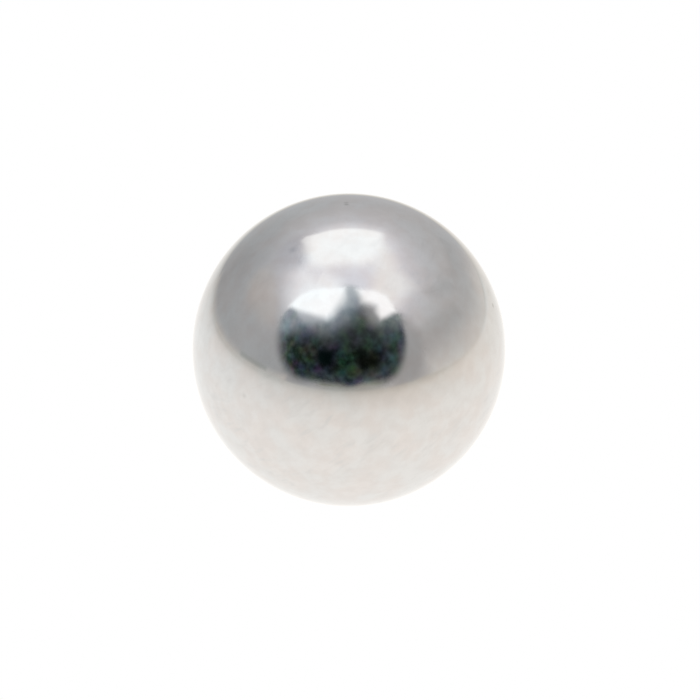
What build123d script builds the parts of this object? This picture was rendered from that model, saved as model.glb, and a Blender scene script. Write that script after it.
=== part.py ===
from build123d import *
import os

# Polished steel ball: one piece of through-hardened steel, ground and lapped to a true sphere.
# Millimetres. The origin is the centre of the ball and +Z is up.

# Driving dimension
ball_diameter = 19.05  # the standard 3/4 inch ball


def make_ball(diameter):
    """The lapped sphere, centred on the origin, with no flat, hole or seam."""
    ball = Sphere(radius=diameter / 2)
    ball.label = "steel_ball"
    return ball


def main():
    os.makedirs("parts", exist_ok=True)
    ball = make_ball(ball_diameter)
    export_step(ball, f"parts/{ball.label}.step")


if __name__ == "__main__":
    main()
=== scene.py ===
import math
import bmesh
import bpy
from mathutils import Matrix, Vector


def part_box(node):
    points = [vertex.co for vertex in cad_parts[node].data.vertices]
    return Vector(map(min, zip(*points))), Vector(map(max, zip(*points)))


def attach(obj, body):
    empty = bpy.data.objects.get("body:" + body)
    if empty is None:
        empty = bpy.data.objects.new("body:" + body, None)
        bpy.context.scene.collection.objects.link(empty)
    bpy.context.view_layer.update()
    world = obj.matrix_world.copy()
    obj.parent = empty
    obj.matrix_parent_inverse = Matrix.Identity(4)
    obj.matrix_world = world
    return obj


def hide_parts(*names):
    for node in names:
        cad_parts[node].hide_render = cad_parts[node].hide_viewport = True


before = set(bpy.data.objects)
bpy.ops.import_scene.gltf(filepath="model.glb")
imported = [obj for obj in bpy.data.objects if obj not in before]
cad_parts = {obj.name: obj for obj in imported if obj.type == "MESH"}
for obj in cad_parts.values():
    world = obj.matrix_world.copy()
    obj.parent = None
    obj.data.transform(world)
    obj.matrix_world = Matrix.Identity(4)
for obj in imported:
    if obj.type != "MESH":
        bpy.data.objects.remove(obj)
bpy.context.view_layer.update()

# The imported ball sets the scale: every stage length below is counted in its radii.
ballLow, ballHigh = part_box("steel_ball")
ballCentre = (ballLow + ballHigh) / 2
ballRadius = (ballHigh.z - ballLow.z) / 2


def linkObject(name, data):
    thing = bpy.data.objects.new(name, data)
    bpy.context.scene.collection.objects.link(thing)
    return thing


camera = {
    "elevation": 25.0,       # degrees above the floor
    "distance": 26.25,       # ball radii from lens to ball, a long lens well back
    "clip": (1.0, 200.0),    # ball radii, the nearest and the farthest that it sees
    "sensor": 36.0,          # mm
    "frameSide": 700,        # pixels, the frame is square
    "ballAcross": 313.2,     # pixels that the ball covers in that frame
    "ballOff": (1.15, 0.1),  # pixels that its middle lies left of the frame's middle and above it
}
tilt = math.radians(camera["elevation"])


def setCamera():
    lens = bpy.data.cameras.new("camera")
    lens.sensor_width = camera["sensor"]
    # a pixel's width for each unit of distance from the lens
    pixel = math.tan(math.asin(1 / camera["distance"])) * 2 / camera["ballAcross"]
    lens.lens = camera["sensor"] / (pixel * camera["frameSide"])
    nearest, farthest = camera["clip"]
    lens.clip_start = nearest * ballRadius
    lens.clip_end = farthest * ballRadius
    back = Vector((0, -math.cos(tilt), math.sin(tilt)))
    right = Vector((1, 0, 0))
    overhead = back.cross(right)
    # The ball sits a touch left of the middle and above it, so the lens aims the other way.
    left, high = camera["ballOff"]
    aim = right * left - overhead * high
    eye = linkObject("camera", lens)
    eye.location = ballCentre + back * camera["distance"] * ballRadius
    eye.rotation_euler = (aim * pixel - back).to_track_quat("-Z", "Y").to_euler()
    bpy.context.scene.camera = eye


setCamera()
print("camera set")


# Small helpers for the materials' node trees
def addNode(tree, kind, place, **settings):
    node = tree.nodes.new(kind)
    node.location = place
    for name, value in settings.items():
        setattr(node, name, value)
    return node


def setInputs(node, values):
    for name, value in values.items():
        node.inputs[name].default_value = value


def feed(tree, socket, given):
    # a number or a tone is set on the socket, another node's output is linked to it
    if isinstance(given, (float, tuple)):
        socket.default_value = given
    else:
        tree.links.new(given, socket)


def twoValues(tree, operation, place, first, second):
    node = addNode(tree, "ShaderNodeMath", place, operation=operation)
    feed(tree, node.inputs[0], first)
    feed(tree, node.inputs[1], second)
    return node.outputs["Value"]


def twoTones(tree, share, place, first, second, blend="MIX"):
    node = addNode(tree, "ShaderNodeMix", place, data_type="RGBA", blend_type=blend)
    feed(tree, node.inputs["Factor"], share)
    feed(tree, node.inputs[6], first)
    feed(tree, node.inputs[7], second)
    return node.outputs[2]


def eased(tree, value, place, span, full=1.0):
    # rises softly from 0 at the start of the span to full at its end
    start, end = span
    mask = addNode(tree, "ShaderNodeMapRange", place, interpolation_type="SMOOTHSTEP")
    setInputs(mask, {"From Min": start, "From Max": end, "To Max": full})
    tree.links.new(value, mask.inputs["Value"])
    return mask.outputs["Result"]


def newMaterial(name):
    material = bpy.data.materials.new(name)
    material.use_nodes = True
    tree = material.node_tree
    tree.nodes.clear()
    shader = addNode(tree, "ShaderNodeBsdfPrincipled", (1200, 0))
    output = addNode(tree, "ShaderNodeOutputMaterial", (1500, 0))
    tree.links.new(shader.outputs["BSDF"], output.inputs["Surface"])
    return material, tree, shader


# The ball, blown up from a cube so that its quads are much alike and no pole pinches the mirror.
# Sizes are in radii. A span is the noise at which an effect starts, and that at which it is full.
ball = {
    "facesPerEdge": 96,
    "tone": (0.653, 0.657, 0.655, 1),      # bright bearing steel
    "edgeTint": (0.936, 0.948, 0.957, 1),  # steel brightens less at grazing angles than a plain mirror
    "roughness": 0.065,
    # the oil film warms the steel, clouds in the polish multiply its tone, handling haze roughens it
    "film": {"tone": (0.661, 0.640, 0.627, 1), "size": 0.17, "detail": 3.0, "span": (0.35, 0.65)},
    "cloud": {"tone": (0.954, 0.954, 0.954, 1), "size": 0.085, "detail": 3.0, "span": (0.30, 0.70)},
    "haze": {"roughness": 0.045, "size": 0.45, "detail": 4.0, "span": (0.35, 0.75)},
    "lapTurn": (0.0, math.radians(139), 0.0),  # turns the lapping axis down to the right
    "lapNoise": {"Scale": 1.0, "Detail": 2.0, "Roughness": 0.6},
    "lap": {"tone": (0.613, 0.613, 0.610, 1), "length": 0.15, "width": 0.045, "span": (0.50, 0.80)},
    "lapInHaze": (0.62, 0.40),  # haze in which the lapping lines are lost, and in which they are full
    # a relief's distance is in metres
    "scratch": {"length": 0.22, "width": 0.006, "relief": {"Strength": 0.25, "Distance": 0.0000008}},
    "pit": {"tone": (0.36, 0.355, 0.34, 1), "size": 0.026, "roughness": 0.30,
            "relief": {"Strength": 0.5, "Distance": 0.00001}},
    "pits": (  # direction from the middle of the ball, and how deep the pit is
        ((0.909, -0.160, 0.384), 0.75), ((-0.650, -0.758, 0.040), 0.25), ((-0.015, 0.021, 1.000), 0.65),
        ((-0.855, 0.214, -0.472), 0.45), ((0.412, 0.838, 0.358), 0.40), ((-0.371, 0.905, -0.208), 0.70),
        ((0.553, 0.461, -0.694), 0.35), ((0.196, -0.571, -0.797), 0.30), ((-0.604, 0.523, 0.601), 0.55),
        ((-0.017, 0.052, 0.999), 0.55),
    ),
}


def buildBall():
    form = bmesh.new()
    bmesh.ops.create_cube(form, size=2)
    cuts = ball["facesPerEdge"] - 1
    bmesh.ops.subdivide_edges(form, edges=form.edges[:], cuts=cuts, use_grid_fill=True)
    for corner in form.verts:
        evened = Vector([math.tan(c * math.pi / 4) for c in corner.co])
        corner.co = ballCentre + evened.normalized() * ballRadius
    for face in form.faces:
        face.smooth = True
    mesh = bpy.data.meshes.new("ball_polished")
    form.to_mesh(mesh)
    form.free()
    # The true sphere's normals, so that the mirror shows no facets.
    mesh.normals_split_custom_set_from_vertices([(v.co - ballCentre).normalized() for v in mesh.vertices])
    return linkObject("ball_polished", mesh)


def softNoise(tree, coords, place, patch):
    noise = addNode(tree, "ShaderNodeTexNoise", place)
    setInputs(noise, {"Scale": 1 / (patch["size"] * ballRadius), "Detail": patch["detail"]})
    tree.links.new(coords, noise.inputs["Vector"])
    return noise.outputs["Fac"]


def lappingLines(tree, coords, place, line):
    # noise drawn out round the lapping axis: long along a line, fine across it
    length = line["length"] * ballRadius
    width = line["width"] * ballRadius
    drawn = addNode(tree, "ShaderNodeMapping", place, vector_type="TEXTURE")
    setInputs(drawn, {"Rotation": ball["lapTurn"], "Scale": (length, length, width)})
    lines = addNode(tree, "ShaderNodeTexNoise", (place[0] + 200, place[1]))
    setInputs(lines, ball["lapNoise"])
    tree.links.new(coords, drawn.inputs["Vector"])
    tree.links.new(drawn.outputs["Vector"], lines.inputs["Vector"])
    return lines.outputs["Fac"]


def pitMask(tree, coords):
    mask = 0.0
    reach = ball["pit"]["size"] * ballRadius
    for i, (direction, depth) in enumerate(ball["pits"]):
        row = -900 - 200 * i
        away = addNode(tree, "ShaderNodeVectorMath", (-700, row), operation="DISTANCE")
        away.inputs[1].default_value = Vector(direction).normalized() * ballRadius
        tree.links.new(coords, away.inputs[0])
        near = eased(tree, away.outputs["Value"], (-500, row), (reach, 0.0), depth)
        mask = twoValues(tree, "MAXIMUM", (-300, row), mask, near)
    return mask


def addRelief(tree, place, height, relief, invert=False):
    bump = addNode(tree, "ShaderNodeBump", place, invert=invert)
    setInputs(bump, relief)
    tree.links.new(height, bump.inputs["Height"])
    return bump


def polishedSteel():
    material, tree, steel = newMaterial("polished_steel")
    setInputs(steel, {"Metallic": 1.0, "Specular Tint": ball["edgeTint"]})
    coords = addNode(tree, "ShaderNodeTexCoord", (-1200, 0)).outputs["Object"]
    film = softNoise(tree, coords, (-700, 500), ball["film"])
    cloud = softNoise(tree, coords, (-700, 700), ball["cloud"])
    haze = softNoise(tree, coords, (-700, -500), ball["haze"])
    lap = lappingLines(tree, coords, (-900, 250), ball["lap"])
    scratch = lappingLines(tree, coords, (-900, 0), ball["scratch"])
    pits = pitMask(tree, coords)

    # Tone: patches of film, lapping lines where the haze leaves them, clouds, then pits
    filmMask = eased(tree, film, (-400, 500), ball["film"]["span"])
    cloudMask = eased(tree, cloud, (-400, 700), ball["cloud"]["span"])
    lapMask = twoValues(tree, "MULTIPLY", (-100, 250), eased(tree, lap, (-400, 250), ball["lap"]["span"]),
                        eased(tree, haze, (-400, -300), ball["lapInHaze"]))
    filmed = twoTones(tree, filmMask, (0, 500), ball["tone"], ball["film"]["tone"])
    lapped = twoTones(tree, lapMask, (200, 400), filmed, ball["lap"]["tone"])
    clouded = twoTones(tree, cloudMask, (400, 600), lapped, ball["cloud"]["tone"], blend="MULTIPLY")
    pitted = twoTones(tree, pits, (600, 300), clouded, ball["pit"]["tone"])
    tree.links.new(pitted, steel.inputs["Base Color"])

    # Gloss: soft patches of haze, and dull pits
    start, end = ball["haze"]["span"]
    hazed = addNode(tree, "ShaderNodeMapRange", (-100, -500))
    setInputs(hazed, {"From Min": start, "From Max": end, "To Min": ball["roughness"],
                      "To Max": ball["roughness"] + ball["haze"]["roughness"]})
    tree.links.new(haze, hazed.inputs["Value"])
    dulled = twoValues(tree, "MULTIPLY", (100, -700), pits, ball["pit"]["roughness"])
    rough = twoValues(tree, "MAXIMUM", (400, -500), hazed.outputs["Result"], dulled)
    tree.links.new(rough, steel.inputs["Roughness"])

    # Relief: scratches a fraction of a micron deep, pits of some microns
    scratches = addRelief(tree, (700, -100), scratch, ball["scratch"]["relief"])
    hollows = addRelief(tree, (900, -200), pits, ball["pit"]["relief"], invert=True)
    tree.links.new(scratches.outputs["Normal"], hollows.inputs["Normal"])
    tree.links.new(hollows.outputs["Normal"], steel.inputs["Normal"])
    return material


steelBall = buildBall()
steelBall.data.materials.append(polishedSteel())
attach(steelBall, "root")
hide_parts("steel_ball")
print("ball built:", len(steelBall.data.polygons), "quads")


# Flat stage cards with soft borders. They hang round the ball and show only in its polish.
def edgesOf(corners):
    return list(zip(corners, corners[1:] + corners[:1]))


def cutCorners(outline, times):
    cutShare = 0.25  # of an edge, at each of its ends
    for _ in range(times):
        rounded = []
        for here, there in edgesOf(outline):
            rounded.append(here.lerp(there, cutShare))
            rounded.append(here.lerp(there, 1 - cutShare))
        outline = rounded
    return outline


def borderDirections(points):
    # at each corner, the way outward that keeps both of its edges at an even distance
    corners = [point.to_2d() for point in points]
    normals = []
    for here, there in edgesOf(corners):
        along = (there - here).normalized()
        normals.append(Vector((along.y, -along.x)))
    area = sum(here.cross(there) for here, there in edgesOf(corners))
    turn = 1 if area > 0 else -1
    return [turn * (normals[i - 1] + normals[i]) / (1 + normals[i - 1].dot(normals[i]))
            for i in range(len(corners))]


def buildCard(name, card):
    points = cutCorners([Vector(point) for point in card["outline"]], card.get("rounding", 0))
    middle = sum(points, Vector((0, 0, 0))) / len(points)
    form = bmesh.new()
    cover = form.verts.layers.float.new("cover")

    def addCorner(across, up, amount):
        corner = form.verts.new(ballCentre + (card["plane"] @ Vector((across, up, 0))) * ballRadius)
        corner[cover] = amount
        return corner

    hub = addCorner(middle.x, middle.y, 1.0)
    inner, outer = [], []
    for (across, up, soft), outward in zip(points, borderDirections(points)):
        step = outward * soft / 2
        inner.append(addCorner(across - step.x, up - step.y, 1.0))
        outer.append(addCorner(across + step.x, up + step.y, 0.0))
    for i in range(len(points)):
        before = i - 1
        form.faces.new((hub, inner[before], inner[i]))
        form.faces.new((inner[before], outer[before], outer[i], inner[i]))
    mesh = bpy.data.meshes.new(name)
    form.to_mesh(mesh)
    form.free()
    thing = linkObject(name, mesh)
    thing.visible_camera = False
    return thing


def softBorderGroup():
    group = bpy.data.node_groups.new("softBorder", "ShaderNodeTree")
    group.interface.new_socket("Opacity", in_out="INPUT", socket_type="NodeSocketFloat")
    group.interface.new_socket("Cover", in_out="OUTPUT", socket_type="NodeSocketFloat")
    given = addNode(group, "NodeGroupInput", (0, -200))
    result = addNode(group, "NodeGroupOutput", (600, 0))
    cover = addNode(group, "ShaderNodeAttribute", (0, 0), attribute_name="cover").outputs["Fac"]
    smooth = eased(group, cover, (200, 0), (0.0, 1.0))
    thinned = twoValues(group, "MULTIPLY", (400, 0), smooth, given.outputs["Opacity"])
    group.links.new(thinned, result.inputs["Cover"])
    return group


# Mottle that several cards share, each at its own size
mottle = {
    "noise": {"Scale": 1.0, "Detail": 4.0, "Roughness": 0.7},
    "span": (0.36, 0.66),       # noise at which the second glow starts and is full
    "hues": {"Scale": 0.6, "Detail": 3.0},
    "hueNoise": (0.30, 0.70),   # noise in each channel of the hues,
    "hueSpread": (0.25, 1.75),  # spread from dark to bright about 1
}


def mottleGroup():
    group = bpy.data.node_groups.new("clothMottle", "ShaderNodeTree")
    group.interface.new_socket("Size", in_out="INPUT", socket_type="NodeSocketFloat")
    group.interface.new_socket("Mottle", in_out="OUTPUT", socket_type="NodeSocketFloat")
    group.interface.new_socket("Tint", in_out="OUTPUT", socket_type="NodeSocketColor")
    given = addNode(group, "NodeGroupInput", (-200, -200))
    result = addNode(group, "NodeGroupOutput", (900, 0))
    coords = addNode(group, "ShaderNodeTexCoord", (-200, 0)).outputs["Object"]
    sized = addNode(group, "ShaderNodeMapping", (0, 0), vector_type="TEXTURE")
    group.links.new(coords, sized.inputs["Vector"])
    group.links.new(given.outputs["Size"], sized.inputs["Scale"])
    folds = addNode(group, "ShaderNodeTexNoise", (300, 100))
    hues = addNode(group, "ShaderNodeTexNoise", (300, -200))
    for noise, values in ((folds, mottle["noise"]), (hues, mottle["hues"])):
        setInputs(noise, values)
        group.links.new(sized.outputs["Vector"], noise.inputs["Vector"])
    spread = addNode(group, "ShaderNodeMapRange", (600, -200), data_type="FLOAT_VECTOR")
    for socket, value in zip(spread.inputs[7:11], (*mottle["hueNoise"], *mottle["hueSpread"])):
        socket.default_value = (value, value, value)
    group.links.new(hues.outputs["Color"], spread.inputs[6])
    group.links.new(eased(group, folds.outputs["Fac"], (600, 100), mottle["span"]), result.inputs["Mottle"])
    group.links.new(spread.outputs[1], result.inputs["Tint"])
    return group


softBorder = softBorderGroup()
clothMottle = mottleGroup()


def glowingSheet(name, opacity):
    # black and dull, so that all its light is its own, with a cover that thins out over the border
    material, tree, sheet = newMaterial(name)
    setInputs(sheet, {"Base Color": (0, 0, 0, 1), "Roughness": 1.0, "Specular IOR Level": 0.0,
                      "Emission Strength": 1.0})
    border = addNode(tree, "ShaderNodeGroup", (700, -300), node_tree=softBorder)
    border.inputs["Opacity"].default_value = opacity
    return material, tree, sheet, border.outputs["Cover"]


def cardLight(name, card):
    material, tree, sheet, cover = glowingSheet(name, card.get("opacity", 1.0))
    tree.links.new(cover, sheet.inputs["Alpha"])
    glow = card["glow"]
    if "mottle" in card:
        patches = addNode(tree, "ShaderNodeGroup", (500, 0), node_tree=clothMottle)
        patches.inputs["Size"].default_value = card["mottle"]["size"] * ballRadius
        mixed = twoTones(tree, patches.outputs["Mottle"], (700, 100), glow, card["mottle"]["glow"])
        glow = twoTones(tree, card["mottle"]["tint"], (900, 200), mixed, patches.outputs["Tint"],
                        blend="MULTIPLY")
    feed(tree, sheet.inputs["Emission Color"], glow)
    return material


def roofPlane(height):
    return Matrix.Translation((0, 0, height))  # across is +X, up is +Y


frontLeft = 0.08  # radii by which the tent's front stands left of the lens


def frontPlane(distance):
    # square to the lens on its own side of the ball: across is +X, up leans back
    return Matrix.Rotation(math.radians(90) - tilt, 4, "X") @ Matrix.Translation((-frontLeft, 0, distance))


def sidePlane(distance):
    # upright on the right, or on the left if below zero: across is +Y, up is +Z
    turn = Matrix(((0, 0, 1, 0), (1, 0, 0, 0), (0, 1, 0, 0), (0, 0, 0, 1)))
    return turn @ Matrix.Translation((0, 0, distance))


# Each outline point is across, up and the width of its soft border, all in ball radii.
# Rounding is how many times the corners are cut. A mottle fades the glow into a second one.
cards = {
    # Roof: a softbox behind, glowing cloth in front of it, and a little shade on the left
    "rearSoftbox": {
        "plane": roofPlane(15.0), "glow": (1.40, 1.42, 1.43, 1),
        "outline": [(-7.6, 8.9, 0.9), (-6.9, 9.6, 0.9), (-4.6, 9.2, 0.9), (-2.7, 9.4, 1.1), (0.6, 9.6, 1.2),
                    (5.1, 9.7, 1.6), (5.0, 5.5, 2.6), (4.2, 0.6, 3.2), (2.2, -0.3, 3.0), (-3.8, -0.6, 2.8),
                    (-6.4, 0.8, 3.6), (-7.35, 4.7, 2.4)],
    },
    "softboxHalo": {
        "plane": roofPlane(15.3), "glow": (1.13, 1.12, 1.16, 1), "opacity": 0.6, "rounding": 1,
        "outline": [(-5.6, 10.6, 5.0), (0.4, 12.4, 5.0), (6.5, 11.4, 5.0), (7.6, 4.0, 5.0),
                    (6.0, -1.5, 5.0), (-6.0, -1.5, 5.0)],
    },
    "leftGlow": {
        "plane": roofPlane(15.2), "glow": (1.28, 1.29, 1.32, 1),
        "outline": [(-8.6, 0.2, 9.5), (-4.2, -1.4, 4.4), (-1.5, -4.0, 4.0), (-0.9, -14.0, 4.0),
                    (-16.0, -14.0, 11.0), (-12.0, -4.4, 12.0)],
    },
    "rightGlow": {
        "plane": roofPlane(15.2), "glow": (1.20, 1.165, 1.15, 1),
        "outline": [(4.4, 6.2, 3.0), (6.0, 5.2, 4.2), (8.6, 0.6, 5.0), (13.0, -2.0, 7.0), (9.8, -12.0, 6.0),
                    (4.2, -12.0, 3.4), (4.4, -0.6, 3.4)],
    },
    # a small dark spot on the roof, left of the softbox
    "roofDarkSpot": {
        "plane": roofPlane(14.8), "glow": (0.35, 0.37, 0.41, 1), "opacity": 0.55,
        "outline": [(-9.8, 7.9, 1.2), (-8.6, 7.6, 1.2), (-8.6, 6.2, 1.2), (-9.6, 6.4, 1.2)],
    },
    "roofShade": {
        "plane": roofPlane(14.9), "glow": (0.50, 0.51, 0.56, 1), "opacity": 0.45, "rounding": 1,
        "outline": [(-6.4, 11.0, 3.2), (-6.4, 2.0, 3.2), (-10.0, 1.0, 4.4), (-13.6, 6.0, 4.8),
                    (-12.0, 12.0, 4.4)],
    },
    # Walls: painted shade in the folds of the cloth, and light that spills up from the floor
    "foldShadeLow": {
        "plane": sidePlane(20.0), "glow": (0.47, 0.46, 0.45, 1), "opacity": 0.45,
        "outline": [(-15, 12.6, 4.0), (-15, 6.6, 3.6), (4.0, 5.0, 3.0), (4.0, 8.0, 3.0), (-7.0, 11.2, 3.8)],
    },
    "foldShadeHigh": {
        "plane": sidePlane(20.0), "glow": (0.50, 0.495, 0.495, 1), "opacity": 0.45,
        "outline": [(-1.0, 17.8, 3.2), (-1.0, 14.4, 3.2), (9.0, 8.4, 2.8), (10.0, 11.2, 2.8)],
    },
    "foldShadeBack": {
        "plane": sidePlane(20.0), "glow": (0.50, 0.495, 0.495, 1), "opacity": 0.4,
        "outline": [(10.5, 11.8, 3.0), (10.5, 8.8, 3.0), (36, 6.8, 5.0), (36, 12.2, 5.0)],
    },
    "rightSpill": {
        "plane": sidePlane(20.2), "glow": (0.885, 0.845, 0.80, 1), "opacity": 0.95,
        "outline": [(-11, 1.5, 9.0), (-11, -8.0, 9.0), (46, -8.0, 9.0), (46, -3.2, 9.0), (22, 2.8, 9.0)],
    },
    "leftSpill": {
        "plane": sidePlane(-24.0), "glow": (0.75, 0.72, 0.68, 1), "opacity": 0.75,
        "outline": [(36, -0.6, 3.2), (8, 0.3, 3.2), (-24, 0.3, 3.2), (-24, -6.0, 3.2), (36, -6.0, 3.2)],
    },
    "leftWash": {
        "plane": sidePlane(-24.0), "glow": (0.73, 0.63, 0.54, 1), "opacity": 0.3, "rounding": 1,
        "outline": [(-10.0, 11.0, 6.0), (-9.0, 20.0, 6.0), (5.0, 25.0, 6.0), (14.0, 20.0, 6.0),
                    (9.0, 11.0, 6.0)],
    },
    # painted shade: a dark line where the floor meets the left wall
    "leftEdgeShade": {
        "plane": sidePlane(-22.0), "glow": (0.30, 0.33, 0.31, 1), "opacity": 0.55,
        "outline": [(-12.4, 0.9, 1.2), (-12.4, -0.3, 1.2), (-2.2, -0.1, 0.9), (-2.2, 0.9, 0.9)],
    },
    # Front: the tent's dark opening, deepest in the middle
    "frontShade": {
        "plane": frontPlane(12.4), "glow": (0.38, 0.365, 0.36, 1), "opacity": 0.56, "rounding": 1,
        "outline": [(9.4, 7.0, 4.6), (15.0, 5.5, 6.0), (18.5, -2.0, 6.5), (16.5, -7.4, 5.0),
                    (7.0, -7.4, 4.0)],
    },
    # painted shade: a dark band where the floor meets the front opening
    "frontEdgeShade": {
        "plane": frontPlane(12.2), "glow": (0.24, 0.245, 0.12, 1), "opacity": 0.35, "rounding": 1,
        "outline": [(-4.6, -4.8, 1.4), (7.4, -4.6, 1.4), (6.6, -6.4, 1.6), (0.2, -7.0, 1.8),
                    (-5.4, -6.4, 1.6)],
    },
    "openFront": {
        "plane": frontPlane(12.0), "glow": (0.020, 0.034, 0.034, 1), "rounding": 3,
        "outline": [(-11.8, -5.5, 3.0), (-15.6, 1.9, 7.5), (-12.5, 10.0, 2.6), (0.4, 11.2, 3.0),
                    (8.6, 8.2, 2.0), (10.8, 2.8, 1.9), (9.8, -2.5, 2.9), (7.5, -5.6, 3.0), (2.6, -5.0, 1.3),
                    (0.3, -6.0, 1.2), (-2.7, -5.1, 1.5)],
        "mottle": {"glow": (0.094, 0.129, 0.140, 1), "size": 1.3, "tint": 0.5},
    },
    "frontDepth": {
        "plane": frontPlane(11.7), "glow": (0.004, 0.006, 0.005, 1), "rounding": 2,
        "outline": [(-9.5, -4.2, 4.0), (-9.0, 2.2, 4.0), (0.0, 3.8, 3.5), (6.4, 3.2, 3.5), (6.3, -4.2, 3.5)],
        "mottle": {"glow": (0.043, 0.064, 0.060, 1), "size": 1.25, "tint": 0.65},
    },
    "leftHollow": {
        "plane": frontPlane(11.5), "glow": (0.001, 0.004, 0.004, 1), "opacity": 0.95, "rounding": 2,
        "outline": [(-4.8, -2.2, 1.4), (-2.0, -2.2, 1.4), (-1.9, 0.1, 1.4), (-4.7, 0.3, 1.4)],
    },
    "rightHollow": {
        "plane": frontPlane(11.5), "glow": (0.002, 0.003, 0.002, 1), "opacity": 0.8, "rounding": 2,
        "outline": [(0.8, -2.5, 1.4), (4.8, -3.0, 1.8), (4.4, -0.8, 1.4), (1.1, 0.2, 1.4)],
    },
    "lowHaze": {
        "plane": frontPlane(11.2), "glow": (0.095, 0.118, 0.122, 1), "opacity": 0.27, "rounding": 1,
        "outline": [(-10.5, 4.6, 2.4), (8.6, 4.6, 2.4), (9.0, 1.2, 2.4), (5.0, 0.4, 2.4), (-8.6, 0.6, 2.4)],
    },
    # Lamps at the top of the opening, and the hazy light round them
    "lampHaze": {
        "plane": frontPlane(11.0), "glow": (0.45, 0.51, 0.57, 1), "opacity": 0.85, "rounding": 1,
        "outline": [(-14.4, 3.8, 3.2), (-12.5, 8.6, 1.8), (0.4, 11.2, 2.0), (2.6, 8.6, 2.4), (1.7, 5.8, 3.0),
                    (0.3, 4.3, 3.6), (-2.8, 2.3, 3.8), (-7.0, 3.5, 3.2), (-10.8, 2.9, 2.8)],
        "mottle": {"glow": (0.25, 0.31, 0.37, 1), "size": 1.4, "tint": 0.1},
    },
    "lampSkirt": {
        "plane": frontPlane(10.4), "glow": (0.71, 0.75, 0.81, 1), "opacity": 0.85, "rounding": 1,
        "outline": [(-9.1, 6.9, 1.4), (-8.2, 5.3, 1.3), (-6.4, 4.2, 1.5), (-3.4, 3.7, 1.7), (-1.9, 4.2, 1.5),
                    (-1.7, 5.3, 1.4), (-3.5, 5.4, 1.4), (-6.6, 6.4, 1.4)],
    },
    "wedgeHaze": {
        "plane": frontPlane(10.6), "glow": (0.64, 0.70, 0.74, 1), "opacity": 0.75, "rounding": 1,
        "outline": [(-1.6, 10.0, 2.0), (0.2, 11.4, 2.0), (1.8, 10.4, 2.0), (1.4, 8.0, 2.0), (-0.3, 6.0, 2.4),
                    (-1.8, 5.6, 2.4)],
    },
    "rightHaze": {
        "plane": frontPlane(10.6), "glow": (0.36, 0.41, 0.42, 1), "opacity": 0.75, "rounding": 1,
        "outline": [(2.8, 7.0, 2.4), (6.8, 6.8, 2.4), (9.6, 5.2, 3.2), (7.8, 3.6, 3.6), (3.4, 3.1, 3.8)],
        "mottle": {"glow": (0.17, 0.21, 0.23, 1), "size": 1.4, "tint": 0.12},
    },
    "rightVeil": {
        "plane": frontPlane(10.3), "glow": (0.49, 0.475, 0.485, 1), "opacity": 0.6, "rounding": 1,
        "outline": [(1.5, 6.8, 1.8), (3.3, 7.2, 1.8), (4.8, 6.2, 1.8), (4.9, 4.3, 1.8), (3.7, 3.3, 1.9),
                    (2.5, 4.2, 2.0)],
    },
    "leftLamp": {
        "plane": frontPlane(10.0), "glow": (1.49, 1.55, 1.59, 1),
        "outline": [(-10.9, 8.1, 1.3), (-8.8, 10.0, 1.4), (-6.2, 10.5, 1.4), (-0.45, 9.9, 1.2),
                    (-0.85, 6.7, 2.1), (-1.95, 4.8, 1.9), (-2.7, 4.1, 1.4), (-4.8, 4.9, 1.2),
                    (-8.6, 6.6, 1.2)],
    },
    "rightLamp": {
        "plane": frontPlane(10.0), "glow": (1.48, 1.49, 1.51, 1),
        "outline": [(1.2, 9.4, 1.2), (4.7, 9.5, 1.2), (6.2, 8.7, 1.2), (7.5, 5.95, 1.2),
                    (5.4, 4.65, 1.0), (4.4, 4.2, 1.0), (3.95, 6.2, 2.1), (1.9, 6.7, 1.8)],
    },
}
for cardName, card in cards.items():
    buildCard(cardName, card).data.materials.append(cardLight(cardName, card))
print("cards hung:", len(cards))


# The floor: a back-lit white sheet with a long pool of light round the ball.
floor = {
    "plane": roofPlane(-1),     # at the ball's lowest point
    "outline": [(-70, -15, 6.0), (36, -15, 10.0), (36, 21, 8.0), (-70, 21, 5.0)],
    "poolMiddle": (0.5, 1.6),
    "poolReach": (31.0, 16.0),
    "poolHeight": 1000.0,       # so tall that height doesn't count
    "poolFade": (  # shares of the way out, and the glow there
        (0.15, (1.092, 1.062, 1.032, 1)),
        (0.30, (1.022, 0.987, 0.951, 1)),
        (0.50, (0.916, 0.881, 0.840, 1)),
        (0.76, (0.747, 0.721, 0.679, 1)),
        (1.00, (0.688, 0.671, 0.636, 1)),
    ),
    "addedPools": (  # middle, reach and glow
        ((0.2, -0.8), (5.5, 5.0), (0.115, 0.108, 0.104, 1)),       # under the ball
        ((0.0, 2.2), (7.0, 3.2), (0.070, 0.069, 0.072, 1)),        # to both sides of it
        ((13.0, 11.5), (13.0, 13.0), (0.195, 0.230, 0.270, 1)),    # behind on the right
        ((-14.0, 12.0), (11.0, 11.0), (0.080, 0.072, 0.080, 1)),   # behind on the left
    ),
    "sideTints": ((1.0, 1.02, 1.035, 1), (1.0, 0.975, 0.94, 1)),  # cooler on the left, warmer on the right
    "tintReach": 8.0,           # radii to either side at which a tint is full
}


def setStops(ramp, stops):
    while len(ramp.elements) < len(stops):
        ramp.elements.new(0.5)
    for stop, (position, tone) in zip(ramp.elements, stops):
        stop.position = position
        stop.color = tone


def wayOut(tree, coords, place, middle, reach):
    # 0 in the middle of a pool of light, 1 where it ends
    pool = addNode(tree, "ShaderNodeMapping", place, vector_type="TEXTURE")
    setInputs(pool, {"Location": Vector((*middle, 0)) * ballRadius,
                     "Scale": Vector((*reach, floor["poolHeight"])) * ballRadius})
    away = addNode(tree, "ShaderNodeVectorMath", (place[0] + 200, place[1]), operation="LENGTH")
    tree.links.new(coords, pool.inputs["Vector"])
    tree.links.new(pool.outputs["Vector"], away.inputs[0])
    return away.outputs["Value"]


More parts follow.
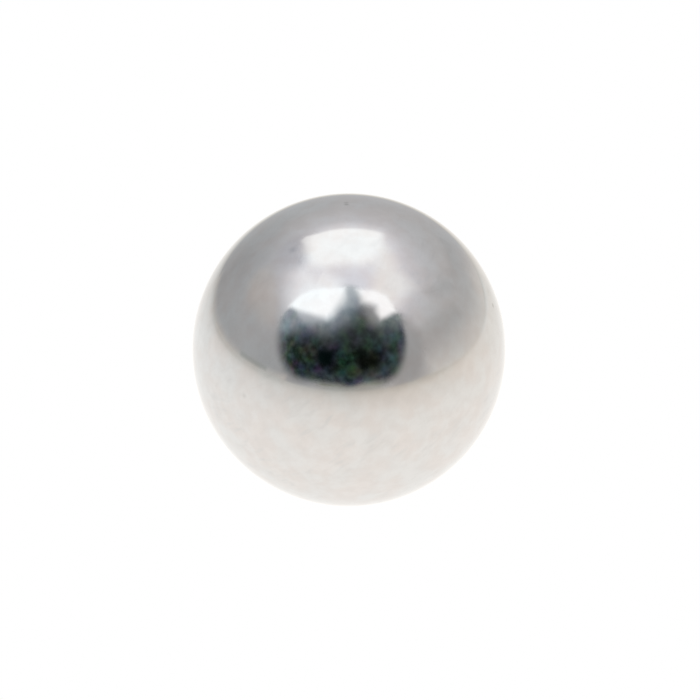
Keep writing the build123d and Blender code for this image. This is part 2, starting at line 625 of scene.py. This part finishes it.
def plainToLens(tree, place, tone):
    # the ball mirrors the tone, but the lens sees plain white
    path = addNode(tree, "ShaderNodeLightPath", (place[0] - 200, place[1] + 300))
    return twoTones(tree, path.outputs["Is Camera Ray"], place, tone, (1, 1, 1, 1))


def floorLight():
    material, tree, sheet, cover = glowingSheet("back_lit_sheet", 1.0)
    coords = addNode(tree, "ShaderNodeTexCoord", (-900, 0)).outputs["Object"]
    out = wayOut(tree, coords, (-700, 0), floor["poolMiddle"], floor["poolReach"])
    ramp = addNode(tree, "ShaderNodeValToRGB", (-300, 0))
    setStops(ramp.color_ramp, floor["poolFade"])
    tree.links.new(out, ramp.inputs["Fac"])
    lit = ramp.outputs["Color"]
    for i, (middle, reach, tone) in enumerate(floor["addedPools"]):
        row = -300 * (i + 1)
        out = wayOut(tree, coords, (-700, row), middle, reach)
        near = eased(tree, out, (-300, row), (1.0, 0.0))
        lit = twoTones(tree, near, (0, row), lit, tone, blend="ADD")
    across = addNode(tree, "ShaderNodeSeparateXYZ", (-700, 300))
    tree.links.new(coords, across.inputs["Vector"])
    full = floor["tintReach"] * ballRadius
    side = eased(tree, across.outputs["X"], (-500, 300), (-full, full))
    tint = twoTones(tree, side, (-100, 300), *floor["sideTints"])
    tinted = twoTones(tree, 1.0, (200, 200), lit, tint, blend="MULTIPLY")
    tree.links.new(plainToLens(tree, (500, 200), tinted), sheet.inputs["Emission Color"])
    # From underneath the sheet is clear, so that the ball shows.
    back = addNode(tree, "ShaderNodeNewGeometry", (700, -500))
    upper = addNode(tree, "ShaderNodeMath", (900, -300), operation="SUBTRACT", use_clamp=True)
    tree.links.new(cover, upper.inputs[0])
    tree.links.new(back.outputs["Backfacing"], upper.inputs[1])
    tree.links.new(upper.outputs["Value"], sheet.inputs["Alpha"])
    return material


floorSheet = buildCard("floor", floor)
floorSheet.visible_camera = True
floorSheet.data.materials.append(floorLight())
print("floor laid")


# The tent's cloth, far off all round: darker on the left, and glowing towards the top.
tent = {
    "sides": (  # from the left wall to the right one
        (0.00, (0.508, 0.514, 0.523, 1)),
        (0.18, (0.450, 0.454, 0.461, 1)),
        (0.40, (0.590, 0.594, 0.603, 1)),
        (0.52, (0.622, 0.616, 0.625, 1)),
        (1.00, (0.590, 0.580, 0.572, 1)),
    ),
    "topGlow": (1.02, 1.01, 1.08, 1),
    "topStretch": (1.28, 1.0, 1.0),  # narrows the glow from left to right
    "topShift": (0.0, 0.36, 0.0),    # leans it towards the lens
    "topRise": (0.02, 0.78),         # heights at which it starts and is full
    "topPower": 2.8,                 # keeps it near the top
}


def clothWorld():
    world = bpy.data.worlds.new("tent_cloth")
    world.use_nodes = True
    tree = world.node_tree
    tree.nodes.clear()
    output = addNode(tree, "ShaderNodeOutputWorld", (900, 0))
    cloth = addNode(tree, "ShaderNodeBackground", (700, 0))
    direction = addNode(tree, "ShaderNodeTexCoord", (-700, 0)).outputs["Generated"]
    # How far right a direction points, from -1 to 1, picks the tone of the wall
    across = addNode(tree, "ShaderNodeSeparateXYZ", (-500, 200))
    share = addNode(tree, "ShaderNodeMapRange", (-300, 200))
    setInputs(share, {"From Min": -1.0, "From Max": 1.0})
    ramp = addNode(tree, "ShaderNodeValToRGB", (-100, 200))
    setStops(ramp.color_ramp, tent["sides"])
    tree.links.new(direction, across.inputs["Vector"])
    tree.links.new(across.outputs["X"], share.inputs["Value"])
    tree.links.new(share.outputs["Result"], ramp.inputs["Fac"])
    # How high it points, leaned a little towards the lens, brings in the glow
    leaned = addNode(tree, "ShaderNodeMapping", (-500, -200))
    setInputs(leaned, {"Location": tent["topShift"], "Scale": tent["topStretch"]})
    unit = addNode(tree, "ShaderNodeVectorMath", (-300, -200), operation="NORMALIZE")
    height = addNode(tree, "ShaderNodeSeparateXYZ", (-100, -200))
    start, end = tent["topRise"]
    rise = addNode(tree, "ShaderNodeMapRange", (100, -200))
    setInputs(rise, {"From Min": start, "From Max": end})
    tree.links.new(direction, leaned.inputs["Vector"])
    tree.links.new(leaned.outputs["Vector"], unit.inputs[0])
    tree.links.new(unit.outputs["Vector"], height.inputs["Vector"])
    tree.links.new(height.outputs["Z"], rise.inputs["Value"])
    top = twoValues(tree, "POWER", (300, -200), rise.outputs["Result"], tent["topPower"])
    lit = twoTones(tree, top, (300, 200), ramp.outputs["Color"], tent["topGlow"])
    tree.links.new(plainToLens(tree, (500, 200), lit), cloth.inputs["Color"])
    tree.links.new(cloth.outputs["Background"], output.inputs["Surface"])
    return world


bpy.context.scene.world = clothWorld()
bpy.context.scene.view_settings.view_transform = "Standard"
print("tent lit")
